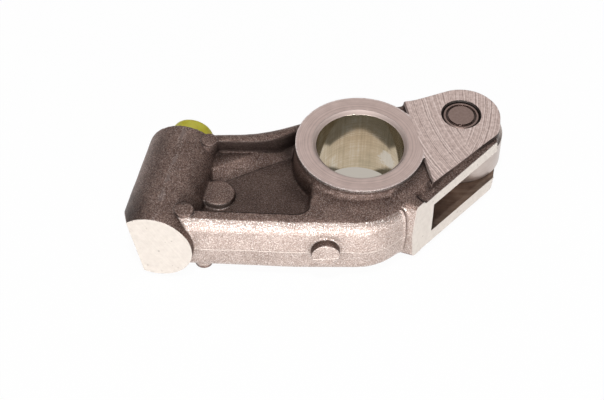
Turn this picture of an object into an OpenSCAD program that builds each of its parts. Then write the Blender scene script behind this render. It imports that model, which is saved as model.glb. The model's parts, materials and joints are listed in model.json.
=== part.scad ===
// Roller rocker arm with a hydraulic lash adjuster in its end boss.
// Millimetres. The origin is the middle of the shaft bore and +Z runs along it.
// +X points to the roller, +Y to the adjuster's open end.

/* [Shaft ring] */
// Bore that runs on the rocker shaft
shaft_bore_d = 25; // [20:0.5:30]
// Wall of the pressed-in bush
bush_wall = 1.25; // [1:0.25:2]
// Wall of the ring round the bush
ring_wall = 4.7; // [4:0.1:7]
// Height of the ring between its machined faces
ring_h = 24; // [22:0.5:30]
// Chamfer at both mouths of the bush
bush_chamfer = 1; // [0.3:0.05:1.1]

/* [Forged body] */
// How far the forged body lies below each ring face
shoulder_drop = 2.75; // [2:0.25:4]
// Draft of the forged walls, in degrees
draft = 5; // [3:1:8]
// Radius that rounds the forged edges
edge_r = 3.4; // [2:0.2:4]
// Radius of the body on the near side of the ring
body_r = 27.2; // [26:0.2:29]
// Distance from the shaft to the straight near wall
near_wall = 31.2; // [30:0.2:34]
// Distance from the shaft to the straight far wall
far_wall = 6.8; // [6:0.2:9]
// Radius of the fillet where the ring meets the body
ring_fillet = 1.4; // [0.8:0.2:2]

/* [Pockets] */
// Thickness of the web between the two pockets
web_t = 5.5; // [4.5:0.5:7]
// Width of the near rail at its top
near_rail = 5.9; // [5:0.1:7]
// Width of the far rail at its top
far_rail = 6.1; // [5:0.1:7]
// Radius along the foot of the pocket walls
pocket_r = 1.8; // [1:0.2:2.4]
// Height of the sloped strip of web beside the far rail
strip_h = 2.6; // [1.5:0.1:3]

/* [Roller fork] */
// Distance from the shaft to the roller pin
pin_reach = 32.5; // [31:0.5:36]
// Direction of the roller pin seen from the shaft, in degrees
pin_angle = 26.3; // [24:0.5:30]
// Height of the fork over its milled faces
fork_h = 22; // [21:0.5:23]
// Width of the roller slot
slot_w = 11; // [10:0.5:12]
// Radius of the fork's round end
fork_r = 10.8; // [10:0.1:11.2]
// Direction that the fork is milled from, in degrees
mill_angle = 14.2; // [10:0.1:16]
// Distance from the shaft to the edge of the milled faces
mill_reach = 16.8; // [16:0.1:17]
// Distance from the shaft to the bottom of the slot
slot_reach = 16.6; // [16.4:0.1:18]
// Direction of the machined side face's normal, in degrees
side_angle = -40.2; // [-42:0.5:-38]
// Distance from the shaft to the machined side face
side_reach = 26.8; // [26:0.1:28]
// Height of the machined side face
side_h = 20.6; // [19:0.2:21]

/* [Roller] */
// Diameter of the roller
roller_d = 25; // [22:0.5:26]
// Diameter of the roller pin
pin_d = 11; // [10:0.5:12]
// How far the pin's ends lie below the fork's faces
pin_recess = 0.4; // [0:0.1:0.8]
// Gap between the roller and each side of the slot
roller_gap = 0.3; // [0.2:0.05:0.4]
// Diameter of one needle
needle_d = 2; // [1.5:0.1:2.5]
// Running clearance between rolling pieces
run_gap = 0.02; // [0.01:0.01:0.04]

/* [End boss] */
// Diameter of the end boss
boss_d = 22; // [21:0.5:24]
// Length of the end boss
boss_l = 37.3; // [36:0.1:40]
// Place of the boss's far face along X
boss_x = -49.7; // [-52:0.1:-47]
// Place of the boss's far face along Y
boss_y = 5.1; // [4:0.1:8]
// Direction of the boss's axis, in degrees
boss_angle = 79.5; // [75:0.5:85]

/* [Lash adjuster] */
// Diameter of the adjuster's bore
adjuster_d = 12; // [11:0.5:13]
// Depth of the adjuster's bore
adjuster_depth = 26; // [25:0.5:28]
// Travel of the adjuster
travel = 2.5; // [1:0.1:2.6]
// Diameter of the ball that carries the foot
foot_ball_d = 5.2; // [4.8:0.1:5.6]
// Diameter of the foot
foot_d = 9.6; // [9:0.1:9.8]
// Diameter of the oil gallery
gallery_d = 2.5; // [2:0.1:3]

/* [Protective cap] */
// Outer diameter of the cap
cap_d = 12.4; // [12.2:0.1:13]
// Wall of the cap
cap_wall = 0.75; // [0.6:0.05:0.9]
// How far the cap stands out of the boss
cap_out = 7.8; // [7.6:0.1:9]

/* [Hidden] */
$fn = 48;
steel = [0.72, 0.68, 0.66];
forged = [0.42, 0.38, 0.36];
ring_half = ring_h / 2;
bush_r = shaft_bore_d / 2 + bush_wall;
ring_r = bush_r + ring_wall;
body_half = ring_half - shoulder_drop;
web_half = web_t / 2;
fork_half = fork_h / 2;
pin_x = pin_reach * cos(pin_angle);
pin_y = pin_reach * sin(pin_angle);
pin_r = pin_d / 2;
eye = [pin_x + 0.5, pin_y - 0.6];
fork_slope = 24;
bend_slope = 10;
pad_slope = 47;
pad_land = 11.8;
pin_half = fork_half - pin_recess;
needle_r = needle_d / 2;
needle_orbit = pin_r + needle_r + run_gap;
needle_count = floor(180 / asin((needle_r + run_gap / 2) / needle_orbit));
roller_w = slot_w - 2 * roller_gap;
roller_bore_r = needle_orbit + needle_r + run_gap;
needle_l = roller_w - 0.8;
boss_r = boss_d / 2;
adjuster_r = adjuster_d / 2;
fit_gap = 0.015;
slip_gap = 0.03;
end_gap = 0.02;
trim = 0.05;

// Stands a shape built along +Z in the end boss, with z = 0 on the boss's far face.
module in_boss() {
    translate([boss_x, boss_y, 0]) rotate([-90, 0, boss_angle - 90]) children();
}

function unit(v) = v / norm(v);

function polar(r, a) = r * [cos(a), sin(a)];

// Where the line through p at angle a meets the line through q at angle b.
function meet(p, a, q, b) = let (d = q - p)
    p + polar((d[0] * sin(b) - d[1] * cos(b)) / sin(b - a), a);

// The arc of radius r that rounds the corner p between a and c.
function corner(a, p, c, r, step) = let (u = unit(a - p), v = unit(c - p), half = acos(u * v) / 2,
    centre = p + unit(u + v) * r / sin(half), from = p + u * r / tan(half) - centre,
    turn = (180 - 2 * half) * sign(u[1] * v[0] - u[0] * v[1]), n = max(1, ceil(abs(turn) / step)))
    [for (i = [0 : n]) centre + polar(r, atan2(from[1], from[0]) + turn * i / n)];

// A closed outline from corners [x, y, radius], counter-clockwise.
function rounded(corners, step) = let (n = len(corners)) [for (i = [0 : n - 1])
    let (q = [for (k = [i - 1, i, i + 1]) let (c = corners[(k + n) % n]) [c[0], c[1]]])
    each corner(q[0], q[1], q[2], corners[i][2], step)];

// The outline moved inwards by d.
function inset(path, d) = let (n = len(path)) [for (i = [0 : n - 1])
    let (e = path[i] - path[(i + n - 1) % n], f = path[(i + 1) % n] - path[i],
         p = unit([e[1], -e[0]]), q = unit([f[1], -f[0]]), m = unit(p + q))
    path[i] - m * d / (m * p)];

// A closed skin over one outline. Each level is [height, inset], and the flat
// ends fan out from the plan point hub.
module skin(path, levels, hub) {
    n = len(path);
    top = len(levels) - 1;
    points = concat([for (l = levels) each [for (p = inset(path, l[1])) [p[0], p[1], l[0]]]],
        [[hub[0], hub[1], levels[0][0]], [hub[0], hub[1], levels[top][0]]]);
    sides = [for (l = [0 : top - 1]) for (i = [0 : n - 1]) let (k = (i + 1) % n, a = l * n, b = a + n)
        each [[a + i, b + i, b + k], [a + i, b + k, a + k]]];
    ends = [for (i = [0 : n - 1]) let (k = (i + 1) % n, a = top * n, b = a + n)
        each [[b, i, k], [b + 1, a + k, a + i]]];
    polyhedron(points, concat(sides, ends), convexity = 6);
}

// Half of a forged edge, from the parting plane up: drafted, then rounded.
function forged_edge(half, r, steps) = let (z0 = half - r + r * sin(draft), in0 = z0 * tan(draft))
    [for (i = [0 : steps]) let (a = draft + (90 - draft) * i / steps)
        [half - r + r * sin(a), in0 + r * (cos(draft) - cos(a))]];

// A plan outline made into a forging, parted at its middle height. It is raised
// a little too high and trimmed to its flat faces.
module forge(path, half, r, steps, hub) {
    up = forged_edge(half + trim, r, steps);
    down = [for (i = [steps : -1 : 0]) [-up[i][0], up[i][1]]];
    intersection() {
        skin(path, concat(down, [[0, 0]], up), hub);
        cube([400, 400, 2 * half], center = true);
    }
}

// A round wire wound from z = 0 to z = height, closed flat at both ends.
module coil(coil_r, wire_r, height, turns, sides = 8, per_turn = 20) {
    steps = turns * per_turn;
    rise = height - 2 * wire_r;
    points = [for (i = [0 : steps]) let (t = i / steps,
            climb = min(1, max(0, (t * turns - 0.5) / (turns - 1))), a = 360 * turns * t)
        for (j = [0 : sides - 1]) let (b = 360 * j / sides, r = coil_r + wire_r * cos(b))
            [r * cos(a), r * sin(a), wire_r + rise * climb + wire_r * sin(b)]];
    skin = [for (i = [0 : steps - 1]) for (j = [0 : sides - 1]) let (k = (j + 1) % sides)
        [i * sides + j, (i + 1) * sides + j, (i + 1) * sides + k, i * sides + k]];
    first = [for (j = [0 : sides - 1]) j];
    last = [for (j = [sides - 1 : -1 : 0]) steps * sides + j];
    polyhedron(points, concat(skin, [first, last]), convexity = 10);
}

// A ring of round wire.
module wire_ring(ring_radius, wire_r, gap = 0) {
    rotate([0, 0, gap / 2]) rotate_extrude(angle = 360 - gap)
        translate([ring_radius, 0]) circle(wire_r, $fn = 20);
}

// Plan of the beam and the body round the shaft, at the parting plane.
function beam_plan() = rounded([
    [-53, -near_wall, 5], [-17, -near_wall, 30], [6, -2.9 - body_r, 16], [22, -16, 10],
    [17, 17, 6], [7, ring_r + 1.2, 14], [-8, ring_r - 1.2, 20], [-18, far_wall + 5, 12],
    [-25, far_wall + 1.9, 20], [-32, far_wall, 20], [-42, far_wall - 0.7, 10], [-53, far_wall - 3.5, 4]], 12);

// A point beside the machined side face: along it, and out from it.
function side_point(along, out) = polar(side_reach + out, side_angle) + polar(along, side_angle + 90);

// Plan of the fork with the wedge that carries the machined side face. The
// eye is the point that the fork's round end is struck from.
function fork_plan() =
    let (heel = side_point(-6.3, 3), side = side_point(29.2, 1), root = side_point(-9.2, -3.5))
    rounded(concat([[heel[0], heel[1], 2.2], [side[0], side[1], 2.2]], far_side(fork_r + 0.3),
                   [[6, -14, 3], [root[0], root[1], 2.2]]), 12);

// Far side of the fork, r from the eye: its round end, and the bend that leads it behind the ring.
function far_side(r) = let (
    tip = meet(eye + polar(r, fork_slope + 90), fork_slope, eye + polar(r, -4), 86),
    behind = [8.3, ring_r - 0.5 + r - fork_r],
    bend = meet(tip, fork_slope, behind, bend_slope), back = meet(bend, bend_slope, [5, 0], 90))
    [[tip[0], tip[1], r], [bend[0], bend[1], 14], [back[0], back[1], 2]];

// Plan of the raised milled face. Its near side runs beside the side face.
function pad_plan() = let (land = eye + polar(pad_land, pad_slope - 90),
    front = meet(land, pad_slope, [12, 0], 90), shoulder = meet(land, pad_slope, eye + polar(fork_r, -4), 86))
    rounded(concat([[front[0], front[1], 1], [shoulder[0], shoulder[1], 5]], far_side(fork_r)), 6);

// Plan of the pocket at the level of the body's flat faces.
function pocket_plan() = let (near = -near_wall + near_rail, far = far_wall - far_rail)
    rounded([[-56, near, 4], [-13.9, near, 4], [-12.6, -8, 10], [-12.6, far + 9.4, 3.5],
             [-21.5, far + 3.4, 8], [-27, far + 1.2, 20], [-56, far, 4]], 15);

module pocket() {
    depth = body_half - web_half;
    floor_in = depth * tan(draft);
    steps = 3;
    foot = [for (i = [0 : steps]) let (a = -90 + 90 * i / steps)
        [pocket_r + pocket_r * sin(a) - trim, floor_in + pocket_r * (1 - cos(a)) - pocket_r * tan(draft) * i / steps]];
    translate([0, 0, web_half]) difference() {
        intersection() {
            skin(pocket_plan(), concat(foot, [[depth + 1, -tan(draft)]]), [-30, -12]);
            translate([-200, -200, 0]) cube([400, 400, depth + 0.5]);
        }
        translate([0, 0, -1]) cylinder(h = depth + 2, r1 = ring_r + 0.75, r2 = ring_r - 0.2);
        strip();
    }
}

// The sloped strip of web beside the far rail.
module strip() {
    run = 4;
    translate([-46, -12.8, 0]) rotate([0, 0, 29]) rotate([90, 0, 90])
        linear_extrude(34) polygon([[-run / strip_h, -1], [run, strip_h], [30, strip_h], [30, -1]]);
}

module both_sides() {
    children();
    mirror([0, 0, 1]) children();
}

module ring_hub() {
    bite = 0.04;
    middle = [ring_r + ring_fillet, body_half + ring_fillet];
    arc = [for (a = [0 : 22.5 : 90]) middle - polar(ring_fillet + bite, a)];
    difference() {
        cylinder(h = ring_h, r = ring_r, center = true);
        // cut back where the fork's faces are milled
        both_sides() rotate([0, 0, mill_angle])
            translate([mill_reach, -30, fork_half - 0.1]) cube([30, 60, 5]);
    }
    // fillet over the shoulder, left out where the pocket meets the ring
    fillet_from = -134;
    fillet_sweep = 200;
    both_sides() rotate([0, 0, fillet_from]) rotate_extrude(angle = fillet_sweep)
        polygon(concat(arc, [[middle[0], middle[1] - ring_fillet - 1], [ring_r - 1, middle[1] - ring_fillet - 1],
                             [ring_r - 1, middle[1]]]));
}

module end_boss() {
    in_boss() translate([0, 0, -boss_l]) difference() {
        cylinder(h = boss_l, r = boss_r);
        // slanted cut on the outer near corner
        translate([-5.6, 0, 0]) rotate([0, -26.5, -14])
            translate([-20, -20, -10]) cube([20, 40, 40]);
    }
}

module nub(x, y, top, r, dome) {
    translate([x, y, 0]) cylinder(h = top - dome, r = r, $fn = 32);
    translate([x, y, top - dome]) cylinder(h = dome, r1 = r, r2 = r - dome, $fn = 32);
}

// A shallow cove between the milled face and the side face, in from that face by the given distance.
module cove(in_from_side) {
    start = side_point(-3.1, -in_from_side);
    translate([start[0], start[1], side_h / 2 + 1.9]) rotate([0, 90, 47.6])
        cylinder(h = 36, r1 = 3.3, r2 = 2.4, $fn = 32);
}

// The arm as it leaves the die, with its flat faces milled but no holes.
module forging() {
    difference() {
        forge(beam_plan(), body_half, edge_r, 4, [-14, -10]);
        both_sides() pocket();
    }
    difference() {
        forge(fork_plan(), side_h / 2, 1, 2, [22, 0]);
        rotate([0, 0, side_angle]) translate([side_reach, -50, -ring_h]) cube([30, 100, 2 * ring_h]);
        cove(1.3);
        mirror([0, 0, 1]) cove(2.6);
    }
    intersection() {
        linear_extrude(fork_h, center = true) polygon(pad_plan());
        rotate([0, 0, mill_angle]) translate([mill_reach - 0.3, -50, -ring_h]) cube([60, 100, 2 * ring_h]);
    }
    ring_hub();
    end_boss();
    // pads left by the ejector pins
    both_sides() nub(-39.6, -14.2, web_half + 2, 4.9, 0.4);
    nub(-43, 1.2, ring_half - 2.3, 2.5, 0.7);
    nub(-48.4, -26, ring_half - 2.2, 2.9, 0.9);
    mirror([0, 0, 1]) nub(-42.8, -27.3, ring_half - 1.6, 2.6, 0.7);
    // stub on the near wall
    translate([-9.6, -20, 0.8]) rotate([90, 0, 4]) cylinder(h = 13.2, r = 4);
}

module arm() {
    color(forged) difference() {
        forging();
        cylinder(h = ring_h + 2, r = bush_r, center = true);
        // roller slot and pin hole
        rotate([0, 0, mill_angle]) translate([slot_reach, -50, -slot_w / 2]) cube([60, 100, slot_w]);
        translate([pin_x, pin_y, 0]) cylinder(h = ring_h + 2, r = pin_r, center = true);
        // adjuster bore with its mouth for the cap, its clip groove and a spot face round it
        in_boss() {
            cylinder(h = 12, r = boss_r - 2);
            translate([0, 0, -adjuster_depth]) cylinder(h = adjuster_depth + 1, r = adjuster_r);
            translate([0, 0, -cap_seat]) cylinder(h = cap_seat + 1, r = cap_d / 2 + run_gap);
            translate([0, 0, clip_z - clip_wire_r]) cylinder(h = 2 * clip_wire_r, r = clip_r + clip_wire_r);
        }
        gallery();
        gallery_mouth();
    }
}

// Oil gallery from the shaft bore to the adjuster.
port_z = -17.5;
gallery_x = boss_x + port_z * cos(boss_angle);
gallery_y = boss_y + port_z * sin(boss_angle);
gallery_angle = atan2(gallery_y, gallery_x);
gallery_end = norm([gallery_x, gallery_y]);
plug_r = gallery_d / 2 + 0.5;
plug_at = gallery_end + boss_r - plug_r - 0.6;

module along_gallery(from) {
    rotate([0, 90, gallery_angle]) translate([0, 0, from]) children();
}

module gallery() {
    along_gallery(bush_r - 1) cylinder(h = gallery_end + 20 - bush_r, r = gallery_d / 2);
}

module gallery_mouth() {
    along_gallery(plug_at) cylinder(h = 20, r = plug_r);
}

module gallery_plug() {
    color(steel) along_gallery(plug_at) translate([0, 0, plug_r]) sphere(plug_r, $fn = 24);
}

module shaft_bush() {
    flat_r = shaft_bore_d / 2 + bush_chamfer;
    color([0.66, 0.64, 0.58]) difference() {
        rotate_extrude() polygon([[flat_r, -ring_half], [bush_r, -ring_half], [bush_r, ring_half],
            [flat_r, ring_half], [shaft_bore_d / 2, ring_half - bush_chamfer],
            [shaft_bore_d / 2, bush_chamfer - ring_half]]);
        along_gallery(shaft_bore_d / 2 - 1) cylinder(h = bush_wall + 2, r = gallery_d / 2);
    }
}

module at_pin() {
    translate([pin_x, pin_y, 0]) children();
}

module roller_pin() {
    groove_in = 0.68 * pin_r;
    groove_out = 0.82 * pin_r;
    groove_deep = 0.6;
    edge = 0.5;
    side = [[0, pin_half], [groove_in, pin_half], [groove_in, pin_half - groove_deep],
            [groove_out, pin_half - groove_deep], [groove_out, pin_half - 0.1],
            [pin_r - edge, pin_half - 0.1], [pin_r, pin_half - edge]];
    back = [for (i = [len(side) - 1 : -1 : 0]) [side[i][0], -side[i][1]]];
    color([0.36, 0.34, 0.33]) at_pin() rotate_extrude() polygon(concat(side, back));
}

module needle_rollers() {
    color(steel) at_pin() for (i = [0 : needle_count - 1]) rotate([0, 0, 360 * i / needle_count])
        translate([needle_orbit, 0, -needle_l / 2]) cylinder(h = needle_l, r = needle_r, $fn = 16);
}

module roller() {
    edge = 0.7;
    half = roller_w / 2;
    r = roller_d / 2;
    color([0.8, 0.79, 0.78]) at_pin() rotate_extrude($fn = 72)
        polygon([[roller_bore_r, -half + 0.3], [roller_bore_r + 0.3, -half], [r - edge, -half],
                 [r, -half + edge], [r, half - edge], [r - edge, half],
                 [roller_bore_r + 0.3, half], [roller_bore_r, half - 0.3]]);
}

// Lash adjuster, with z = 0 on the boss's far face.
disc_t = 1;
disc_top = -adjuster_depth + disc_t;
clip_wire_r = 0.5;
clip_r = adjuster_r;
clip_z = -4;
housing_r = adjuster_r - fit_gap;
shoulder_z = clip_z - clip_wire_r - 0.05;
piston_r = 4;
piston_end = -13;
cage_top = piston_end + 3.6;
cage_r = 3.6;
cage_wall = 0.3;
port_r = 0.8;
port_band = 1.6;
chamber_end = -6.5;
skirt_z = disc_top + travel + 0.6;
ring_wire_r = 0.3;
ring_z = skirt_z + 0.6 + ring_wire_r;
piston_step = ring_z + ring_wire_r + 0.05;
ball_r = 1.6;
seat_r = 1.3;
ball_z = piston_end + sqrt(ball_r * ball_r - seat_r * seat_r) + 0.04;
foot_ball_r = foot_ball_d / 2;
foot_ball_z = 2.2;
foot_face = foot_ball_z + 3.8;
foot_back = foot_ball_z - foot_ball_r / 2;
cap_seat = 2;

module support_disc() {
    color(steel) in_boss() translate([0, 0, -adjuster_depth]) difference() {
        cylinder(h = disc_t, r = adjuster_r - 0.1);
        translate([0, 0, -1]) cylinder(h = disc_t + 2, r = 1.2);
    }
}

module adjuster_piston() {
    narrow_r = piston_r - 0.6;
    color(steel) in_boss() difference() {
        rotate_extrude() polygon([[0, piston_end], [piston_r, piston_end], [piston_r, port_z + 1],
            [piston_r - 0.4, port_z + 1], [piston_r - 0.4, port_z - 1], [piston_r, port_z - 1],
            [piston_r, piston_step], [narrow_r, piston_step], [narrow_r, disc_top], [0, disc_top]]);
        translate([0, 0, disc_top - 1]) cylinder(h = piston_end - 2 - disc_top + 1, r = narrow_r - 0.9);
        translate([0, 0, piston_end - 3]) cylinder(h = 4, r = seat_r);
        translate([0, 0, port_z]) rotate([0, 90, 0]) cylinder(h = piston_r + 1, r = 0.7, $fn = 24);
    }
}

module adjuster_housing() {
    nose_r = 4.4;
    nose_z = -2.5;
    inner_r = piston_r + slip_gap;
    color(steel) in_boss() difference() {
        union() {
            rotate_extrude() polygon([[0, skirt_z], [housing_r - 0.3, skirt_z], [housing_r, skirt_z + 0.3],
                [housing_r, port_z - port_band], [housing_r - 0.6, port_z - port_band],
                [housing_r - 0.6, port_z + port_band], [housing_r, port_z + port_band], [housing_r, shoulder_z],
                [nose_r, shoulder_z], [nose_r, nose_z], [1.6, nose_z + 0.6],
                [1.6, foot_ball_z], [0, foot_ball_z]]);
            translate([0, 0, foot_ball_z]) sphere(foot_ball_r, $fn = 32);
        }
        translate([0, 0, skirt_z - 1]) cylinder(h = chamber_end - skirt_z + 1, r = inner_r);
        translate([0, 0, ring_z - ring_wire_r]) cylinder(h = 2 * ring_wire_r, r = piston_r + 0.35);
        translate([0, 0, port_z]) rotate([0, 90, 0]) cylinder(h = housing_r + 1, r = port_r, $fn = 24);
    }
}

module piston_ring() {
    color(steel) in_boss() translate([0, 0, ring_z]) wire_ring(piston_r, ring_wire_r - 0.02, gap = 20);
}

module ball_cage() {
    inner_r = ball_r + 0.15;
    vent_r = 0.6;
    color(steel) in_boss() rotate_extrude() polygon([[inner_r, piston_end], [cage_r, piston_end],
        [cage_r, piston_end + cage_wall], [inner_r + cage_wall, piston_end + cage_wall],
        [inner_r + cage_wall, cage_top], [vent_r, cage_top], [vent_r, cage_top - cage_wall],
        [inner_r, cage_top - cage_wall]]);
}

module check_ball() {
    color(steel) in_boss() translate([0, 0, ball_z]) sphere(ball_r, $fn = 24);
}

module ball_spring() {
    from = ball_z + ball_r + end_gap;
    color(steel) in_boss() translate([0, 0, from])
        coil(0.85, 0.1, cage_top - cage_wall - end_gap - from, 2, sides = 6, per_turn = 14);
}

module return_spring() {
    from = piston_end + cage_wall + end_gap;
    color(steel) in_boss() translate([0, 0, from])
        coil(3.0, 0.35, chamber_end - end_gap - from, 4);
}

module retaining_clip() {
    color(steel) in_boss() translate([0, 0, clip_z]) wire_ring(clip_r, clip_wire_r - 0.03, gap = 30);
}

module swivel_foot() {
    r = foot_d / 2;
    edge = 0.5;
    color(steel) in_boss() difference() {
        rotate_extrude() polygon([[0, foot_back], [r - 1.2, foot_back], [r, foot_back + 1.2],
            [r, foot_face - edge], [r - edge, foot_face], [0, foot_face]]);
        translate([0, 0, foot_ball_z]) sphere(foot_ball_r + slip_gap, $fn = 32);
    }
}

module protective_cap() {
    r = cap_d / 2;
    edge = 0.8;
    color([0.72, 0.71, 0.16]) in_boss() difference() {
        rotate_extrude() polygon([[0, -cap_seat], [r, -cap_seat], [r, cap_out - edge],
            [r - 0.25 * edge, cap_out - 0.25 * edge], [r - edge, cap_out], [0, cap_out]]);
        translate([0, 0, -cap_seat - 1]) cylinder(h = cap_seat + cap_out - 0.9 + 1, r = r - cap_wall);
    }
}

arm();
shaft_bush();
gallery_plug();
roller_pin();
needle_rollers();
roller();
adjuster_housing();
adjuster_piston();
support_disc();
piston_ring();
ball_cage();
check_ball();
ball_spring();
return_spring();
retaining_clip();
swivel_foot();
protective_cap();
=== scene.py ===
import bpy
import json
import math
from mathutils import Matrix, Vector

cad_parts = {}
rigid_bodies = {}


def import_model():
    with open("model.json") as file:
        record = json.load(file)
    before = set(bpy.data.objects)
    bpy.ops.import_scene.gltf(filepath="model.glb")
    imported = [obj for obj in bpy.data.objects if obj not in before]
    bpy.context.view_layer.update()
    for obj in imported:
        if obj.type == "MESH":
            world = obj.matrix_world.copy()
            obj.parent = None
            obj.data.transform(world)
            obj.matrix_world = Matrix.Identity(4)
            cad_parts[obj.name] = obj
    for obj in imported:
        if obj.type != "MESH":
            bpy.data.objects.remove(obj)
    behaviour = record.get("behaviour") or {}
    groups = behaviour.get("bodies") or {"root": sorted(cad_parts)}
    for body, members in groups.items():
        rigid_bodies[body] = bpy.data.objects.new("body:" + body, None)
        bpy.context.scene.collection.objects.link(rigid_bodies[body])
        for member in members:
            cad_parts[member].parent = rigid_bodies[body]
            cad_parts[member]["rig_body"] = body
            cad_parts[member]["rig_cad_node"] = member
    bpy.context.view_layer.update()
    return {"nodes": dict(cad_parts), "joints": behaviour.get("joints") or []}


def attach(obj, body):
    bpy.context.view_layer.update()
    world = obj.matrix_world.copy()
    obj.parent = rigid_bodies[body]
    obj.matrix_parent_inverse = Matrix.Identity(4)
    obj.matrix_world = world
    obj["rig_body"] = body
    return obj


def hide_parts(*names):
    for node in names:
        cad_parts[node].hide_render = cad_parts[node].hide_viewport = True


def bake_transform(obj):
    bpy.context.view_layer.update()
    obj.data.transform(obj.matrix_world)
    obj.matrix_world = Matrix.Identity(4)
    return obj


# Roller rocker arm with a lash adjuster in its end boss. Lengths in the dictionaries are in millimetres.
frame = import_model()
nodes = frame["nodes"]
mm = 0.001
joints = {joint["name"]: joint for joint in frame["joints"]}
print("stage: frame loaded,", len(nodes), "nodes")

# Places that the frame gives: the roller pin, and the adjuster boss with its axis pointing outwards
pinSpot = Vector(joints["roller_spin"]["pos_m"]) / mm
bossAxis = Vector(joints["cap_pull"]["axis"]).normalized()
footBallOut = 2.2
bossFace = Vector(joints["foot_swivel"]["pos_m"]) / mm - bossAxis * footBallOut
upAxis = Vector((0, 0, 1))
ringMiddle = Vector((0, 0, 0))


def polar(radius, degrees):
    angle = math.radians(degrees)
    return Vector((radius * math.cos(angle), radius * math.sin(angle), 0))


# Modelling steps, as done by hand


def selectOnly(piece):
    bpy.ops.object.select_all(action="DESELECT")
    piece.select_set(True)
    bpy.context.view_layer.objects.active = piece


def pickFaces(piece, wanted):
    selectOnly(piece)
    bpy.ops.object.mode_set(mode="EDIT")
    bpy.ops.mesh.select_mode(type="FACE")
    bpy.ops.mesh.select_all(action="DESELECT")
    bpy.ops.object.mode_set(mode="OBJECT")
    for face in piece.data.polygons:
        face.select = wanted(face.center / mm, face.normal)
    return sum(face.select for face in piece.data.polygons)


def anyFace(spot, facing):
    return True


def onPlane(normal, distance, slack=0.02):
    return lambda spot, facing: facing.dot(normal) > 0.999 and abs(spot.dot(normal) - distance) < slack


def growFaces(piece, wanted, shift):
    count = pickFaces(piece, wanted)
    bpy.ops.object.mode_set(mode="EDIT")
    bpy.ops.mesh.extrude_region_move(TRANSFORM_OT_translate={"value": shift * mm})
    bpy.ops.object.mode_set(mode="OBJECT")
    return count


def smoothFaces(piece, wanted, passes):
    pickFaces(piece, wanted)
    bpy.ops.object.mode_set(mode="EDIT")
    bpy.ops.mesh.vertices_smooth(factor=0.5, repeat=passes)
    bpy.ops.object.mode_set(mode="OBJECT")


def addBar(radius, low, high, spot, axis, sides=96, tip=None):
    middle = spot + axis * (low + high) / 2
    turn = axis.to_track_quat("Z", "Y").to_euler()
    bpy.ops.object.select_all(action="DESELECT")
    bpy.ops.mesh.primitive_cone_add(vertices=sides, radius1=radius * mm, radius2=(tip or radius) * mm,
                                    depth=(high - low) * mm, location=middle * mm, rotation=turn)
    return bpy.context.object


def addBlock(low, high, degrees=0):
    size = Vector(high) - Vector(low)
    middle = (Vector(high) + Vector(low)) / 2
    turn = Matrix.Rotation(math.radians(degrees), 4, "Z")
    bpy.ops.object.select_all(action="DESELECT")
    bpy.ops.mesh.primitive_cube_add(size=1, location=(turn @ middle) * mm,
                                    rotation=(0, 0, math.radians(degrees)), scale=size * mm)
    return bpy.context.object


def settle(piece):
    selectOnly(piece)
    bpy.ops.object.transform_apply(location=True, rotation=True, scale=True)
    return piece


def joinAll(pieces):
    bpy.ops.object.select_all(action="DESELECT")
    for piece in pieces:
        piece.select_set(True)
    bpy.context.view_layer.objects.active = pieces[0]
    bpy.ops.object.join()
    settle(pieces[0])


def copyNode(node, name):
    selectOnly(nodes[node])
    bpy.ops.object.duplicate()
    piece = bpy.context.object
    piece.name = name
    piece.parent = None
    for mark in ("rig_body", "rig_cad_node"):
        del piece[mark]
    return piece


def finishWith(piece, kind, **settings):
    selectOnly(piece)
    step = piece.modifiers.new(kind.lower(), kind)
    for name, value in settings.items():
        setattr(step, name, value)
    bpy.ops.object.modifier_apply(modifier=step.name)


def combine(piece, tool, operation="DIFFERENCE"):
    finishWith(piece, "BOOLEAN", operation=operation, solver="MANIFOLD", object=tool)
    bpy.data.objects.remove(tool)


def cutAway(piece, tool):
    combine(piece, settle(tool))


# The forging: its blank is blended like die work, and then machined again to the crisp faces of the solid

forging = {
    # faces and bores of the solid
    "ringFace": 12, "boreRadius": 13.75,
    "padFace": 11, "padStart": 16.8, "millAngle": 14.2,
    "slotHalf": 5.5, "slotStart": 16.6, "pinHole": 5.5, "pinMouth": 5.85,
    "sideReach": 26.8, "sideAngle": -40.2,
    "bossLength": 37.3, "adjusterBore": 6, "adjusterDepth": 26, "spotFace": 9, "spotDeep": 0.15,
    "capRecess": 6.22, "capDepth": 2, "clipGroove": 6.5, "clipLow": 3.5, "clipHigh": 4.5,
    # blank: stock on the faces, plugs larger than the bores, voxel size, and the share of faces kept
    "weld": 0.002, "stock": 1.5, "plugOver": 0.45, "plugOut": 1.4, "adjusterOver": 1, "adjusterShort": 0.2,
    "grain": 0.3, "blend": 1, "keep": 0.38, "waveLength": 5, "waveHeight": 0.14, "smoothAngle": 32,
    # the fillet round the ring and the bend at the heel are smoothed more
    "filletFrom": 18.7, "filletTo": 23, "filletLow": 8.7, "filletHigh": 11.5,
    "heelBend": (17.4, -16.8, 8.6), "heelReach": 3.4, "filletPasses": 16,
    # flash on the near wall, from the middle plane upwards
    "flashRadius": 0.4, "flashOver": 0.1,
    "flashLine": ((13.33, -23.56, -0.5), (13.0, -23.18, 6), (12.81, -22.97, 7), (12.44, -22.55, 8),
                  (12.13, -22.2, 8.5), (11.85, -21.9, 8.75)),
    # cutters, which reach past what they cut
    "wide": 60, "tall": 20, "above": 5, "finStart": 16.2, "finEnd": 17, "finSide": 8.9,
    "nearEnd": 14, "nearDeep": 10, "spotHigh": 12, "boreOut": 2, "mouthOut": 0.01,
    # ejector nubs: x, y, height of the top (negative on the underside) and radius
    "nubs": ((-43, 1.2, 9.95, 2.5), (-48.4, -26, 10.15, 2.9), (-42.8, -27.3, -10.4, 2.6)),
    "nubFoot": 4, "nubDraft": 0.12, "nubRound": 0.22,
}

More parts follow.
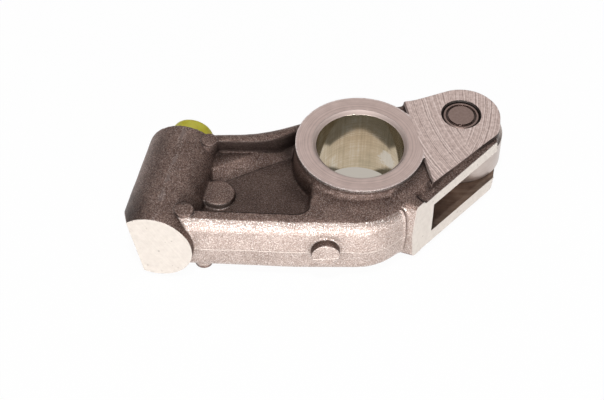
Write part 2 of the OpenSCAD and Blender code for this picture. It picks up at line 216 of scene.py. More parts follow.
# Directions in which the milled step, the fork's side and the boss's near end look
millOut = polar(1, forging["millAngle"])
sideOut = polar(1, forging["sideAngle"])
nearOut = -bossAxis
nearReach = nearOut.dot(bossFace) + forging["bossLength"]


def addStock(arm):
    f = forging
    counts = []
    for up in (1, -1):
        facing = upAxis * up
        onPad = onPlane(facing, f["padFace"])
        counts.append(growFaces(arm, onPlane(facing, f["ringFace"]), facing * f["stock"]))
        counts.append(growFaces(arm, lambda s, n: onPad(s, n) and s.dot(millOut) > f["padStart"] - 1,
                                facing * f["stock"]))
        counts.append(growFaces(arm, onPlane(facing, -f["slotHalf"]), facing * f["stock"]))
    for facing, distance in ((millOut, f["slotStart"]), (sideOut, f["sideReach"]), (nearOut, nearReach)):
        counts.append(growFaces(arm, onPlane(facing, distance), facing * f["stock"]))
    print("stage: stock on the faces", counts)


def plugBores():
    f = forging
    over, out = f["plugOver"], f["plugOut"]
    return [
        addBar(f["boreRadius"] + over, -f["ringFace"] - out, f["ringFace"] + out, ringMiddle, upAxis),
        addBar(f["pinHole"] + over, -f["padFace"] - out, f["padFace"] + out, pinSpot, upAxis),
        addBar(f["adjusterBore"] + f["adjusterOver"], -f["adjusterDepth"] - over, -f["adjusterShort"],
               bossFace, bossAxis),
    ]


def flashBars():
    # the flash follows the wall's draft and bends over its rounded edge
    bars = []
    over = forging["flashOver"]
    for up in (1, -1):
        line = [Vector((x, y, z * up)) for x, y, z in forging["flashLine"]]
        for first, last in zip(line, line[1:]):
            along = last - first
            bars.append(addBar(forging["flashRadius"], -over, along.length + over, first,
                               along.normalized(), sides=16))
    return bars


def nearFilletOrHeel(spot, facing):
    # the fillet round the ring flows smoothly into the shoulder, and the cove's end into the bend
    f = forging
    inFillet = (f["filletFrom"] < spot.xy.length < f["filletTo"]
                and f["filletLow"] < abs(spot.z) < f["filletHigh"])
    folded = Vector((spot.x, spot.y, abs(spot.z)))
    return inFillet or (folded - Vector(f["heelBend"])).length < f["heelReach"]


def forgeBlank():
    f = forging
    arm = copyNode("arm", "forged_arm")
    bpy.ops.object.mode_set(mode="EDIT")
    bpy.ops.mesh.select_all(action="SELECT")
    bpy.ops.mesh.remove_doubles(threshold=f["weld"] * mm)
    bpy.ops.object.mode_set(mode="OBJECT")
    addStock(arm)
    joinAll([arm] + plugBores() + flashBars())
    finishWith(arm, "REMESH", mode="VOXEL", voxel_size=f["grain"] * mm, adaptivity=0)
    smoothFaces(arm, anyFace, f["blend"])
    smoothFaces(arm, nearFilletOrHeel, f["filletPasses"])
    waves = bpy.data.textures.new("dieWaves", "CLOUDS")
    waves.noise_scale = f["waveLength"] * mm
    finishWith(arm, "DISPLACE", texture=waves, texture_coords="LOCAL", mid_level=0.5,
               strength=f["waveHeight"] * mm)
    finishWith(arm, "DECIMATE", decimate_type="COLLAPSE", ratio=f["keep"])
    print("stage: blank", len(arm.data.polygons), "faces")
    return arm


def millFaces(arm):
    f = forging
    wide, tall, mill = f["wide"], f["tall"], f["millAngle"]
    for up in (1, -1):
        low, high = sorted((up * f["ringFace"], up * (f["ringFace"] + f["above"])))
        cutAway(arm, addBlock((-wide, -wide, low), (wide, wide, high)))
        low, high = sorted((up * f["padFace"], up * (f["padFace"] + f["above"])))
        cutAway(arm, addBlock((f["padStart"], -wide, low), (wide, wide, high), mill))
        # no fin is left where the pad's step runs out past the ring
        for side in (1, -1):
            first, last = sorted((side * f["finSide"], side * wide))
            cutAway(arm, addBlock((f["finStart"], first, low), (f["finEnd"], last, high), mill))
    cutAway(arm, addBlock((f["sideReach"], -wide, -tall), (wide, wide, tall), f["sideAngle"]))
    cutAway(arm, addBlock((f["slotStart"], -wide, -f["slotHalf"]), (wide, wide, f["slotHalf"]), mill))


def boreHoles(arm):
    f = forging
    cutAway(arm, addBar(f["boreRadius"], -f["tall"], f["tall"], ringMiddle, upAxis, sides=192))
    cutAway(arm, addBar(f["pinHole"], -f["tall"], f["tall"], pinSpot, upAxis))
    deep = f["padFace"] - (f["pinMouth"] - f["pinHole"])
    for up in (1, -1):
        cutAway(arm, addBar(f["pinHole"], deep, f["padFace"] + f["mouthOut"], pinSpot, upAxis * up,
                            tip=f["pinMouth"]))


def raiseNubs(arm):
    f = forging
    for x, y, top, radius in f["nubs"]:
        up = upAxis * (1 if top > 0 else -1)
        nub = settle(addBar(radius, f["nubFoot"], abs(top), Vector((x, y, 0)), up, sides=64,
                            tip=radius - f["nubDraft"]))
        finishWith(nub, "BEVEL", width=f["nubRound"] * mm, segments=3, limit_method="ANGLE")
        combine(arm, nub, "UNION")


def machineBoss(arm):
    f = forging
    nearEnd = bossFace - bossAxis * f["bossLength"]
    cutAway(arm, addBar(f["nearEnd"], -f["nearDeep"], 0, nearEnd, bossAxis, sides=32))
    cutAway(arm, addBar(f["spotFace"], -f["spotDeep"], f["spotHigh"], bossFace, bossAxis))
    cutAway(arm, addBar(f["capRecess"], -f["capDepth"], f["boreOut"], bossFace, bossAxis))
    cutAway(arm, addBar(f["clipGroove"], -f["clipHigh"], -f["clipLow"], bossFace, bossAxis))
    cutAway(arm, addBar(f["adjusterBore"], -f["adjusterDepth"], f["boreOut"], bossFace, bossAxis))


# Shader maths. A Wire is a shader value that Python's operators add Math nodes to


class Wire:
    def __init__(self, paint, socket):
        self.paint = paint
        self.socket = socket

    def math(self, operation, *others, clamp=False):
        sockets = {0: self}
        for place, other in enumerate(others):
            sockets[place + 1] = other
        return self.paint.node("ShaderNodeMath", {"operation": operation, "use_clamp": clamp}, sockets)

    def __add__(self, other):
        return self.math("ADD", other)

    __radd__ = __add__

    def __sub__(self, other):
        return self.math("SUBTRACT", other)

    def __rsub__(self, other):
        return self.paint.number(other).math("SUBTRACT", self)

    def __mul__(self, other):
        return self.math("MULTIPLY", other)

    __rmul__ = __mul__

    def __truediv__(self, other):
        return self.math("DIVIDE", other)

    def __abs__(self):
        return self.math("ABSOLUTE")

    def under(self, limit, softness):
        return ((limit - self) / softness + 0.5).math("ADD", 0, clamp=True)

    def over(self, limit, softness):
        return ((self - limit) / softness + 0.5).math("ADD", 0, clamp=True)


class Paint:
    def __init__(self, name, **fixed):
        self.material = bpy.data.materials.new(name)
        self.material.use_nodes = True
        self.tree = self.material.node_tree
        self.shader = self.tree.nodes["Principled BSDF"]
        for socket, value in fixed.items():
            self.shader.inputs[socket.replace("_", " ")].default_value = value
        self.place = self.vector("SCALE", self.node("ShaderNodeTexCoord", {}, {}, "Object"), Scale=1 / mm)

    def node(self, kind, settings, sockets, out=0):
        made = self.tree.nodes.new(kind)
        for name, value in settings.items():
            if name == "stops":
                while len(made.color_ramp.elements) < len(value):
                    made.color_ramp.elements.new(1)
                for stop, (spot, colour) in zip(made.color_ramp.elements, value):
                    stop.position = spot
                    stop.color = (*colour, 1)
            else:
                setattr(made, name, value)
        for name, value in sockets.items():
            if isinstance(value, Wire):
                self.tree.links.new(value.socket, made.inputs[name])
            else:
                made.inputs[name].default_value = value
        return Wire(self, made.outputs[out])

    def number(self, value):
        return self.node("ShaderNodeMath", {"operation": "ADD"}, {0: value, 1: 0.0})

    def vector(self, operation, first, second=None, out=0, **named):
        sockets = {0: first, **named}
        if second is not None:
            sockets[1] = second
        return self.node("ShaderNodeVectorMath", {"operation": operation}, sockets, out)

    def axis(self, direction, spot=None):
        away = self.place if spot is None else self.vector("SUBTRACT", self.place, tuple(spot))
        return self.vector("DOT_PRODUCT", away, tuple(direction), "Value")

    def radius(self, spot, axis):
        away = self.vector("SUBTRACT", self.place, tuple(spot))
        along = self.vector("DOT_PRODUCT", away, tuple(axis), "Value")
        back = self.vector("SCALE", tuple(axis), Scale=along)
        return self.vector("LENGTH", self.vector("SUBTRACT", away, back), out="Value")

    def facing(self):
        return self.node("ShaderNodeNewGeometry", {}, {}, "Normal")

    def outward(self, nearer):
        # how far a surface looks away from the arm's middle line, which runs nearer than the ring's middle.
        # The pockets' inner walls look towards it
        lean = self.vector("DOT_PRODUCT", self.facing(), (0, 1, 0), "Value")
        return lean * (self.axis((0, 1, 0)) + nearer)

    def corner(self, reach, least=0.72):
        # 0 on open faces, 1 deep in a corner: the mask for painted shade in corners
        clear = self.node("ShaderNodeAmbientOcclusion", {"samples": 8, "only_local": True},
                          {"Distance": reach * mm}, "AO")
        return clear.under(least, 0.5)

    def noise(self, scale, detail=2, rough=0.5):
        return self.node("ShaderNodeTexNoise", {}, {"Vector": self.place, "Scale": scale, "Detail": detail,
                                                    "Roughness": rough})

    def cells(self, scale):
        return self.node("ShaderNodeTexVoronoi", {}, {"Vector": self.place, "Scale": scale}, "Distance")

    def line(self, value, scale, detail=3):
        return self.node("ShaderNodeTexNoise", {"noise_dimensions": "1D"}, {"W": value, "Scale": scale,
                                                                            "Detail": detail})

    def ramp(self, value, *stops):
        return self.node("ShaderNodeValToRGB", {"stops": stops}, {"Fac": value})

    def blend(self, share, first, second):
        colours = [(*colour, 1) if isinstance(colour, tuple) and len(colour) == 3 else colour
                   for colour in (first, second)]
        return self.node("ShaderNodeMix", {"data_type": "RGBA"}, {0: share, 6: colours[0], 7: colours[1]}, 2)

    def bump(self, height, depth, strength, under=None):
        sockets = {"Height": height, "Distance": depth * mm, "Strength": strength}
        if under is not None:
            sockets["Normal"] = under
        return self.node("ShaderNodeBump", {}, sockets)

    def softEdge(self, width):
        return self.node("ShaderNodeBevel", {"samples": 6}, {"Radius": width * mm})

    def wear(self, **sockets):
        for name, value in sockets.items():
            self.tree.links.new(value.socket, self.shader.inputs[name.replace("_", " ")])
        return self.material


# Finishes. Colours are linear, scales are in features per millimetre, and sizes and places in millimetres


def forgedScale():
    # As forged and blasted: brown scale with a grainy bump and painted glints, and a thin parting seam at mid
    # height. The near outer walls take a painted lit copy of the colour, edges a painted highlight, and
    # corners and recesses painted shade
    look = {
        "dark": (0.092, 0.056, 0.045), "mid": (0.222, 0.143, 0.117), "pale": (0.5, 0.35, 0.295),
        "litWallDark": (0.32, 0.24, 0.205), "litWallMid": (0.475, 0.37, 0.325), "litWallPale": (0.73, 0.615, 0.56),
        "seam": (0.9, 0.8, 0.73), "paintedGlint": (1, 0.93, 0.89), "deep": (0.024, 0.0145, 0.012),
        "patchScale": 0.16, "grainScale": 1.9, "speckScale": 3.6,
        "middleNearer": 4, "wallTop": 9.3, "rimLow": 11.1, "edgeWidth": 0.45,
        "seamRise": 0.2, "seamWander": 1.6, "seamHalf": 0.15,
        "pocketTop": 3.6, "filletRadius": 20.4, "filletLow": 9.6,
        "creaseSpot": (-28.5, -3.15, 0), "creaseFacing": (-0.489, 0.872, 0), "creaseTop": 3.5,
        "ledgeFrom": 22.4, "ledgeTo": 24.9, "ledgeLow": 8.5, "ledgeStart": 14.5,
    }
    p = Paint("forgedScale", Metallic=0.75)
    patches = p.noise(look["patchScale"], 3, 0.6)
    grain = p.noise(look["grainScale"], 3, 0.75)
    specks = p.noise(look["speckScale"], 1, 0.5)
    tone = patches * 0.2 + grain * 0.5 + specks * 0.3
    # painted light: tops take the darker copy of the scale's colour, and the near outer walls below the rail
    # tops a lit, paler copy
    top = p.ramp(tone, (0.38, look["dark"]), (0.5, look["mid"]), (0.64, look["pale"]))
    litWall = p.ramp(tone, (0.38, look["litWallDark"]), (0.5, look["litWallMid"]), (0.64, look["litWallPale"]))
    height = p.axis(upAxis)
    offMiddle = abs(height)
    outward = p.outward(look["middleNearer"])
    litOuterWall = outward.over(9, 8) * offMiddle.under(look["wallTop"], 0.4)
    colour = p.blend(litOuterWall, top, litWall)
    # painted glints: specks lightened toward white, most on slopes and on the ring's rim
    facing = p.facing()
    slope = (abs(p.vector("DOT_PRODUCT", facing, (0, 0, 1), "Value")) * litOuterWall).over(0.3, 0.3)
    rim = offMiddle.over(look["rimLow"], 0.3)
    paintedGlint = specks.over(0.6, 0.06) * (litOuterWall * 0.25 + slope * 0.6 + 0.2) + rim * specks.over(0.48, 0.2) * 0.7
    colour = p.blend(paintedGlint, colour, look["paintedGlint"])
    wander = p.line(p.axis((1, 0, 0)), 0.09, 1) * look["seamWander"]
    seam = abs(height + wander - look["seamRise"]).under(look["seamHalf"], 0.12)
    colour = p.blend(seam * 0.6, colour, look["seam"])
    # painted shade: corners, pocket floors, their inner walls, the web's crease and the ring's fillet are
    # darkened
    deep = p.corner(6, 0.73).math("MAXIMUM", p.corner(1.2, 0.78)) * (1 - litOuterWall * 0.55)
    pocketShade = offMiddle.under(look["pocketTop"], 1.2) * (1 - litOuterWall) * 0.55
    innerWallShade = outward.under(-2.2, 3) * 0.95
    creaseShade = (abs(p.axis(look["creaseFacing"], look["creaseSpot"])).under(0.4, 0.5)
              * offMiddle.under(look["creaseTop"], 0.6) * (1 - litOuterWall) * 0.85)
    fillet = (p.radius(ringMiddle, upAxis).under(look["filletRadius"], 1.4)
              * offMiddle.over(look["filletLow"], 0.5))
    # painted shade: a dark line under the pad's near edge
    sideways = p.axis(sideOut)
    ledgeShade = (sideways.over(look["ledgeFrom"], 0.6) * sideways.under(look["ledgeTo"], 0.7)
             * offMiddle.over(look["ledgeLow"], 0.3)
             * p.axis(millOut).over(look["ledgeStart"], 2.5) * 0.8)
    for share in (innerWallShade, pocketShade, fillet * 0.5, ledgeShade, creaseShade):
        deep = deep.math("MAXIMUM", share)
    # the painted shade is mixed in here
    colour = p.blend(deep * 0.93, colour, look["deep"])
    # painted highlight: outer edges lightened toward white
    soft = p.softEdge(look["edgeWidth"])
    edgeHighlight = (1 - p.vector("DOT_PRODUCT", soft, facing, "Value")).over(0.07, 0.08) * (1 - deep)
    colour = p.blend(edgeHighlight * grain.over(0.45, 0.4) * 0.8, colour, look["paintedGlint"])
    normal = p.bump(grain, 0.16, 0.9, soft)
    normal = p.bump(specks, 0.13, 0.8, normal)
    normal = p.bump(seam, 0.12, 0.7, normal)
    return p.wear(Base_Color=colour, Roughness=grain * 0.3 + 0.34 - paintedGlint * 0.2, Normal=normal)


def turnedFace():
    # The ring's faces: fine turned circles that wander a little, with a painted glint on the rim in places
    look = {
        "dark": (0.52, 0.4, 0.365), "mid": (0.66, 0.515, 0.47), "pale": (0.82, 0.66, 0.61),
        "glint": (1, 0.9, 0.87), "lineScale": 2.2, "rim": 18.1,
    }
    p = Paint("turnedFace", Metallic=1.0)
    across = p.radius(ringMiddle, upAxis)
    wander = p.noise(0.12, 2, 0.5) * 0.5 + p.noise(1.3, 2, 0.6) * 0.18
    fine = p.line(across + wander, look["lineScale"], 4)
    tone = fine * 0.6 + p.noise(0.35, 2, 0.5) * 0.4
    colour = p.ramp(tone, (0.28, look["dark"]), (0.5, look["mid"]), (0.75, look["pale"]))
    # painted highlight: glints along the ring's outer rim
    glint = across.over(look["rim"], 0.25) * p.noise(2.4, 2, 0.6).over(0.5, 0.2)
    colour = p.blend(glint * 0.8, colour, look["glint"])
    normal = p.bump(fine, 0.03, 0.8, p.softEdge(0.12))
    return p.wear(Base_Color=colour, Roughness=tone * 0.25 + 0.34, Normal=normal)


def milledFace():
    # A face cutter swept across the fork, and left two families of long arcs
    look = {
        "dark": (0.36, 0.27, 0.245), "mid": (0.64, 0.5, 0.455), "pale": (0.92, 0.77, 0.72),
        "step": (0.12, 0.085, 0.075), "stepWidth": 0.25,
        "sweepFrom": (54, 17, 0), "sweepScale": 2.2, "backFrom": (-46, 6, 0), "backScale": 2.4, "meeting": 42,
    }
    p = Paint("milledFace", Metallic=1.0)
    wander = p.noise(0.5, 2, 0.5) * 0.5
    sweep = p.line(p.radius(pinSpot + Vector(look["sweepFrom"]), upAxis) + wander, look["sweepScale"], 4)
    back = p.line(p.radius(pinSpot + Vector(look["backFrom"]), upAxis) + wander, look["backScale"], 4)
    across = p.axis(millOut)
    share = (across + p.noise(0.22, 2, 0.6) * 22).over(look["meeting"], 5)
    arcs = p.node("ShaderNodeRGBToBW", {}, {0: p.blend(share, sweep, back)})
    tone = arcs * 0.6 + p.noise(0.9, 3, 0.7) * 0.4
    colour = p.ramp(tone, (0.36, look["dark"]), (0.5, look["mid"]), (0.64, look["pale"]))
    # painted shade: a thin dark line along the pad's step by the ring
    step = across.under(forging["padStart"] + look["stepWidth"], 0.2) * 0.8
    colour = p.blend(step, colour, look["step"])
    normal = p.bump(tone, 0.08, 0.9, p.softEdge(0.12))
    return p.wear(Base_Color=colour, Roughness=tone * 0.3 + 0.22, Normal=normal)


def sawnFace():
    # The fork's side, and both ends of the boss: pale cuts with small pits
    look = {"dark": (0.58, 0.52, 0.47), "pale": (0.68, 0.62, 0.565), "pit": (0.25, 0.21, 0.18),
            "lineScale": 3.1, "pitScale": 0.42, "pitRadius": 0.1}
    p = Paint("sawnFace", Metallic=0.5)
    along = p.axis(polar(1, forging["sideAngle"] + 90)) + p.axis(upAxis) * 0.35
    fine = p.line(along, look["lineScale"], 3)
    tone = fine * 0.35 + p.noise(0.7, 3, 0.6) * 0.65
    colour = p.ramp(tone, (0.25, look["dark"]), (0.6, look["pale"]))
    pits = p.cells(look["pitScale"]).under(look["pitRadius"], 0.06)
    colour = p.blend(pits * 0.55, colour, look["pit"])
    normal = p.bump(fine, 0.02, 0.6, p.softEdge(0.14))
    normal = p.bump(pits, -0.1, 0.7, normal)
    return p.wear(Base_Color=colour, Roughness=p.noise(1.1) * 0.15 + 0.5, Normal=normal)


def slotWall():
    # Inside of the roller slot: milled, with painted shade in its corners, and the cutter's faint arcs
    look = {"dark": (0.21, 0.145, 0.115), "pale": (0.38, 0.29, 0.23), "oil": (0.03, 0.02, 0.015),
            "oilReach": 3, "lineScale": 0.9}
    p = Paint("slotWall", Metallic=0.9)
    fine = p.line(p.radius(pinSpot, upAxis), look["lineScale"], 3)
    colour = p.ramp(fine * 0.35 + p.noise(0.3, 3) * 0.65, (0.3, look["dark"]), (0.65, look["pale"]))
    # painted shade in the slot's corners
    colour = p.blend(p.corner(look["oilReach"]) * 0.7, colour, look["oil"])
    normal = p.bump(fine, 0.015, 0.6, p.softEdge(0.14))
    return p.wear(Base_Color=colour, Roughness=p.noise(0.9) * 0.1 + 0.42, Normal=normal)


def pinSeat():
    # The narrow cone round the pin: painted black, as shade in the gap round the pin
    look = {"dark": (0.02, 0.014, 0.012), "pale": (0.06, 0.045, 0.04)}
    p = Paint("pinSeat", Metallic=0.3)
    cloud = p.noise(1.2, 2, 0.5)
    colour = p.ramp(cloud, (0.3, look["dark"]), (0.7, look["pale"]))
    return p.wear(Base_Color=colour, Roughness=cloud * 0.1 + 0.45, Normal=p.softEdge(0.1))


def boredWall():
    # Inside of the boss, with the boring tool's rings
    look = {"dark": (0.3, 0.27, 0.25), "pale": (0.5, 0.46, 0.43), "ringScale": 5}
    p = Paint("boredWall", Metallic=1.0)
    fine = p.line(p.axis(bossAxis, bossFace), look["ringScale"], 3)
    colour = p.ramp(fine, (0.3, look["dark"]), (0.7, look["pale"]))
    return p.wear(Base_Color=colour, Roughness=fine * 0.2 + 0.3, Normal=p.bump(fine, 0.02, 0.6))


def honedBush():
    # Cross-hatched by the hone, in straw and olive temper tints. Its chamfer has the ring's own turned finish
    look = {
        "olive": (0.6, 0.54, 0.42), "straw": (0.78, 0.68, 0.54), "bare": (0.92, 0.88, 0.8),
        "mouthDark": (0.42, 0.33, 0.3), "mouthPale": (0.62, 0.5, 0.46), "mouthRadius": 12.53,
        "wiped": (0.96, 0.97, 0.98), "wipeSpot": (8.6, 9.0, -3.5), "wipeReach": 5.4,
        "radius": 12.5, "hatchScale": 2.6, "crossScale": 1.4, "blotchScale": 0.16, "ringScale": 2.2,
    }
    p = Paint("honedBush", Metallic=1.0)
    right, back = [p.node("ShaderNodeSeparateXYZ", {}, {0: p.place}, part) for part in (0, 1)]
    around = back.math("ARCTAN2", right) * look["radius"]
    hatch = (p.line(around * 0.12 + p.axis(upAxis), look["hatchScale"], 3) * 0.6
             + p.line(around, look["crossScale"], 3) * 0.4)
    blotch = p.noise(look["blotchScale"], 3, 0.55)
    colour = p.ramp(blotch * 0.5 + hatch * 0.5, (0.36, look["olive"]), (0.5, look["straw"]),
                    (0.62, look["bare"]))
    # a pale wipe mark low on the far side
    toWipe = p.vector("LENGTH", p.vector("SUBTRACT", p.place, look["wipeSpot"]), out="Value")
    wiped = (toWipe + p.noise(0.7, 3, 0.7) * 5).under(look["wipeReach"], 0.8)
    colour = p.blend(wiped * 0.7, colour, look["wiped"])
    across = p.radius(ringMiddle, upAxis)
    mouth = across.over(look["mouthRadius"], 0.03)
    rings = p.line(across, look["ringScale"], 4)
    colour = p.blend(mouth, colour, p.ramp(rings, (0.3, look["mouthDark"]), (0.7, look["mouthPale"])))
    normal = p.bump(hatch, 0.006, 0.7, p.softEdge(0.08))
    return p.wear(Base_Color=colour, Roughness=blotch * 0.08 + 0.07 + mouth * 0.4, Metallic=1 - mouth * 0.65,
                  Normal=normal)


def pinSteel():
    # Dull end of the pin, with painted shade as dark rings over its groove and its rim
    look = {"dark": (0.27, 0.19, 0.165), "pale": (0.37, 0.265, 0.235), "ringShade": (0.03, 0.022, 0.02),
            "groove": 4.13, "grooveHalf": 0.3, "rim": 5.15}
    p = Paint("pinSteel", Metallic=0.95)
    cloud = p.noise(1.4, 3, 0.6)
    across = p.radius(pinSpot, upAxis)
    colour = p.ramp(cloud, (0.3, look["dark"]), (0.7, look["pale"]))
    # painted shade over the groove and the rim
    ringShade = abs(across - look["groove"]).under(look["grooveHalf"], 0.12) + across.over(look["rim"], 0.08)
    colour = p.blend(ringShade * 0.85, colour, look["ringShade"])
    return p.wear(Base_Color=colour, Roughness=cloud * 0.2 + 0.36,
                  Normal=p.bump(cloud, 0.02, 0.6, p.softEdge(0.12)))


def groundSteel(name, dark, pale, lines, rough):
    # Ground or drawn steel, with its lay across the value that lines gives
    p = Paint(name, Metallic=1.0)
    fine = p.line(lines(p), 2.4, 3)
    cloud = p.noise(0.3, 2, 0.5)
    colour = p.ramp(fine * 0.4 + cloud * 0.6, (0.3, dark), (0.7, pale))
    return p.wear(Base_Color=colour, Roughness=fine * 0.06 + rough,
                  Normal=p.bump(fine, 0.003, 0.6, p.softEdge(0.15)))


def capPlastic():
    # Yellow-green moulded plug, slightly see-through at the rim
    look = {"dark": (0.54, 0.48, 0.04), "pale": (0.63, 0.57, 0.065), "depth": 2}
    p = Paint("capPlastic", Subsurface_Weight=0.12, Subsurface_Scale=look["depth"] * mm,
              Specular_IOR_Level=0.4)
    cloud = p.noise(0.5, 2, 0.5)
    colour = p.ramp(cloud, (0.3, look["dark"]), (0.7, look["pale"]))
    return p.wear(Base_Color=colour, Roughness=cloud * 0.1 + 0.36,
                  Normal=p.bump(p.noise(4, 2), 0.01, 0.4, p.softEdge(0.25)))


def paintArm(arm):
    # A face takes the last finish in the list whose place it fits
    f = forging
    thin, level = 0.01, 0.999
    farReach = bossAxis.dot(bossFace) - f["spotDeep"]

    def onRing(s, n):
        return abs(abs(s.z) - f["ringFace"]) < thin and abs(n.z) > level

    def onPad(s, n):
        return abs(abs(s.z) - f["padFace"]) < thin and abs(n.z) > level

    def onCut(s, n):
        return (onPlane(sideOut, f["sideReach"])(s, n) or onPlane(nearOut, nearReach)(s, n)
                or onPlane(bossAxis, farReach)(s, n))

    def inSlot(s, n):
        inside = s.dot(millOut) > f["slotStart"] - 0.02 and abs(s.z) < f["slotHalf"] + thin
        return inside and (abs(n.z) > level or n.dot(millOut) > level)

    def roundPin(s, n):
        return (s - pinSpot).xy.length < f["pinMouth"] + 0.05 and abs(n.z) < 0.99

    def inBoss(s, n):
        away = s - bossFace
        return (away.cross(bossAxis).length < f["clipGroove"] + 0.1
                and -f["adjusterDepth"] - 0.1 < away.dot(bossAxis) < -f["spotDeep"] - thin)

    zones = [(forgedScale(), anyFace), (turnedFace(), onRing), (milledFace(), onPad), (sawnFace(), onCut),
             (slotWall(), inSlot), (pinSeat(), roundPin), (boredWall(), inBoss)]
    arm.data.materials.clear()
    for material, wanted in zones:
        arm.data.materials.append(material)
    for face in arm.data.polygons:
        spot, facing = face.center / mm, face.normal
        face.material_index = max(i for i, (_, wanted) in enumerate(zones) if wanted(spot, facing))
    selectOnly(arm)
    bpy.ops.object.shade_smooth_by_angle(angle=math.radians(f["smoothAngle"]))


arm = forgeBlank()
millFaces(arm)
boreHoles(arm)
raiseNubs(arm)
machineBoss(arm)
print("stage: machined", len(arm.data.polygons), "faces")
paintArm(arm)
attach(arm, "arm_body")
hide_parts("arm")
print("stage: arm painted")


def alongBoss(p):
    return p.axis(bossAxis, bossFace)


def roundRoller(p):
    return p.radius(pinSpot, upAxis) + p.axis(upAxis) * 0.8


def dressNodes():
    bright = groundSteel("brightSteel", (0.62, 0.6, 0.58), (0.78, 0.76, 0.74), alongBoss, 0.22)
    wire = groundSteel("springSteel", (0.42, 0.41, 0.4), (0.6, 0.58, 0.57), alongBoss, 0.26)
    rolling = groundSteel("rollingSteel", (0.5, 0.42, 0.38), (0.6, 0.515, 0.47), roundRoller, 0.3)
    finishes = {
        "shaft_bush": honedBush(), "roller_pin": pinSteel(), "protective_cap": capPlastic(),
        "roller": rolling, "needle_rollers": rolling, "gallery_plug": bright, "adjuster_housing": bright,
        "adjuster_piston": bright, "support_disc": bright, "ball_cage": bright, "check_ball": bright,
        "swivel_foot": bright, "piston_ring": wire, "ball_spring": wire, "return_spring": wire,
        "retaining_clip": wire,
    }
    for name, material in finishes.items():
        mesh = nodes[name].data
        mesh.materials.clear()
        mesh.materials.append(material)
    print("stage: nodes dressed", len(finishes))


dressNodes()


# Springs: the table gives the depth of each coil's end that stays, of its end that moves, and the piece that
# it pushes.
# Depths are along the boss's axis, from its face. fitSprings reads only the node: it copies each coil in
# place and hides the node

springs = {
    "return_coil": {"node": "return_spring", "still": -12.3, "moving": -6.9, "follows": "housing_body"},
    "check_coil": {"node": "ball_spring", "still": -9.75, "moving": -10.38, "follows": "ball_body"},
}


def fitSprings():
    for name, s in springs.items():
        coil = copyNode(s["node"], name)
        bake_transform(coil)
        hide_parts(s["node"])
    print("stage: springs fitted", len(springs))


fitSprings()


# Studio: a pale floor that metal also sees as white, a grey room and soft lamps

ground = {
    "half": 3000, "gap": 0.02, "glowShare": 0.97,
    # under the bore, where the bush mirrors it, the floor glows grey, with a painted pool of light where the
    # key light would fall
    "boreSpot": 14, "litSpot": (0.2, 3, 0), "litWide": 5.7, "litLong": 7.3, "farStart": 8.6, "farHalf": 4.4,
    "shade": (0.13, 0.12, 0.1), "litNear": (0.54, 0.47, 0.39), "litFar": (0.6, 0.56, 0.5),
    "direct": (0.49, 0.45, 0.4),
}

roomGrey = 0.08

lamps = {
    "frontLow": {"spot": (100, -800, 90), "size": (900, 170), "brightness": 18},
    "frontKey": {"spot": (-60, -340, 940), "size": (50, 50), "brightness": 700},
    "frontMid": {"spot": (-60, -520, 520), "size": (110, 110), "brightness": 2.4},
    "backSoftbox": {"spot": (0, 560, 600), "size": (800, 500), "brightness": 0.95},
}

# Fitted to the photograph: focal length in pixels of its 604 wide frame, pitch and roll in degrees
view = {"focal": 2000, "frameWide": 604, "pitch": 47.506, "roll": 2.345, "spot": (-15.857, -395.75, 419.26),
        "sensor": 36, "nearest": 10}


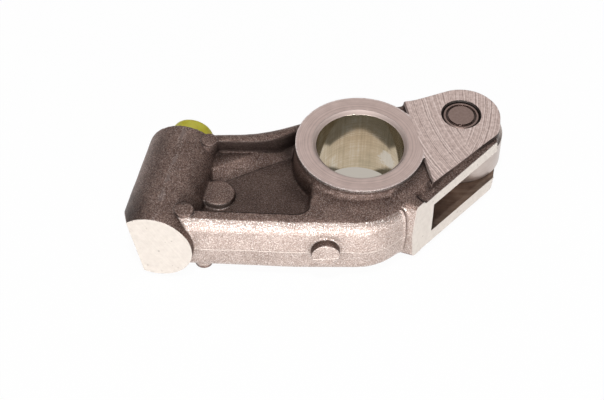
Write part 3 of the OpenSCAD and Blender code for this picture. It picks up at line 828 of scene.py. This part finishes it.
def paleFloor():
    g = ground
    p = Paint("paleFloor", Base_Color=(0.9, 0.9, 0.9, 1), Roughness=0.9)
    camera, mirror, through = [p.node("ShaderNodeLightPath", {}, {}, f"Is {ray} Ray")
                               for ray in ("Camera", "Glossy", "Transmission")]
    seen = camera.math("MAXIMUM", mirror).math("MAXIMUM", through)
    above = 1 - p.node("ShaderNodeNewGeometry", {}, {}, "Backfacing")
    inBore = p.radius(ringMiddle, upAxis).under(g["boreSpot"], 1) * above
    # a painted ellipse of light, and at the first mirroring also a painted patch of light at the far side
    away = p.vector("MULTIPLY", p.vector("SUBTRACT", p.place, g["litSpot"]),
                    (1 / g["litWide"], 1 / g["litLong"], 0))
    first = p.node("ShaderNodeLightPath", {}, {}, "Glossy Depth").under(1.5, 0.2)
    patch = p.axis((0, 1, 0)).over(g["farStart"], 0.6) * abs(p.axis((1, 0, 0))).under(g["farHalf"], 1) * first
    lit = p.vector("LENGTH", away, out="Value").under(1, 0.1).math("MAXIMUM", camera).math("MAXIMUM", patch)
    bright = p.blend(p.axis((0, 1, 0)).over(5, 12), g["litNear"], g["litFar"])
    shade = p.blend(lit, g["shade"], p.blend(camera, bright, g["direct"]))
    glow = p.node("ShaderNodeEmission", {}, {"Color": p.blend(inBore, (1, 1, 1), shade), "Strength": 1})
    share = seen * (inBore * (1 - g["glowShare"]) + g["glowShare"])
    mix = p.node("ShaderNodeMixShader", {}, {0: share, 1: Wire(p, p.shader.outputs[0]), 2: glow})
    p.tree.links.new(mix.socket, p.tree.nodes["Material Output"].inputs[0])
    return p.material


def layFloor():
    bpy.ops.object.select_all(action="DESELECT")
    bpy.ops.mesh.primitive_plane_add(size=2 * ground["half"] * mm,
                                     location=(0, 0, (-forging["ringFace"] - ground["gap"]) * mm))
    floor = bpy.context.object
    floor.name = "floor"
    floor.data.materials.append(paleFloor())


def fillRoom():
    world = bpy.data.worlds.new("room")
    world.use_nodes = True
    bpy.context.scene.world = world
    world.node_tree.nodes["Background"].inputs["Color"].default_value = (roomGrey, roomGrey, roomGrey, 1)


def addLamp(name, spot, size, brightness):
    bpy.ops.object.select_all(action="DESELECT")
    turn = Vector(spot).to_track_quat("Z", "Y").to_euler()
    bpy.ops.object.light_add(type="AREA", location=Vector(spot) * mm, rotation=turn)
    lamp = bpy.context.object
    lamp.name = name
    lamp.data.shape = "RECTANGLE"
    lamp.data.size = size[0] * mm
    lamp.data.size_y = size[1] * mm
    lamp.data.energy = brightness * math.pi * size[0] * size[1] * mm * mm


def addCamera():
    pitch, roll = math.radians(view["pitch"]), math.radians(view["roll"])
    ahead = Vector((0, math.cos(pitch), -math.sin(pitch)))
    level = Vector((1, 0, 0))
    rise = level.cross(ahead)
    right = level * math.cos(roll) + rise * math.sin(roll)
    up = rise * math.cos(roll) - level * math.sin(roll)
    bpy.ops.object.camera_add()
    camera = bpy.context.object
    camera.matrix_world = Matrix((right, up, -ahead)).transposed().to_4x4()
    camera.location = Vector(view["spot"]) * mm
    camera.data.sensor_width = view["sensor"]
    camera.data.lens = view["focal"] * view["sensor"] / view["frameWide"]
    camera.data.clip_start = view["nearest"] * mm
    bpy.context.scene.camera = camera


layFloor()
fillRoom()
for name, lamp in lamps.items():
    addLamp(name, **lamp)
addCamera()
bpy.context.scene.view_settings.view_transform = "Standard"
print("stage: studio ready")
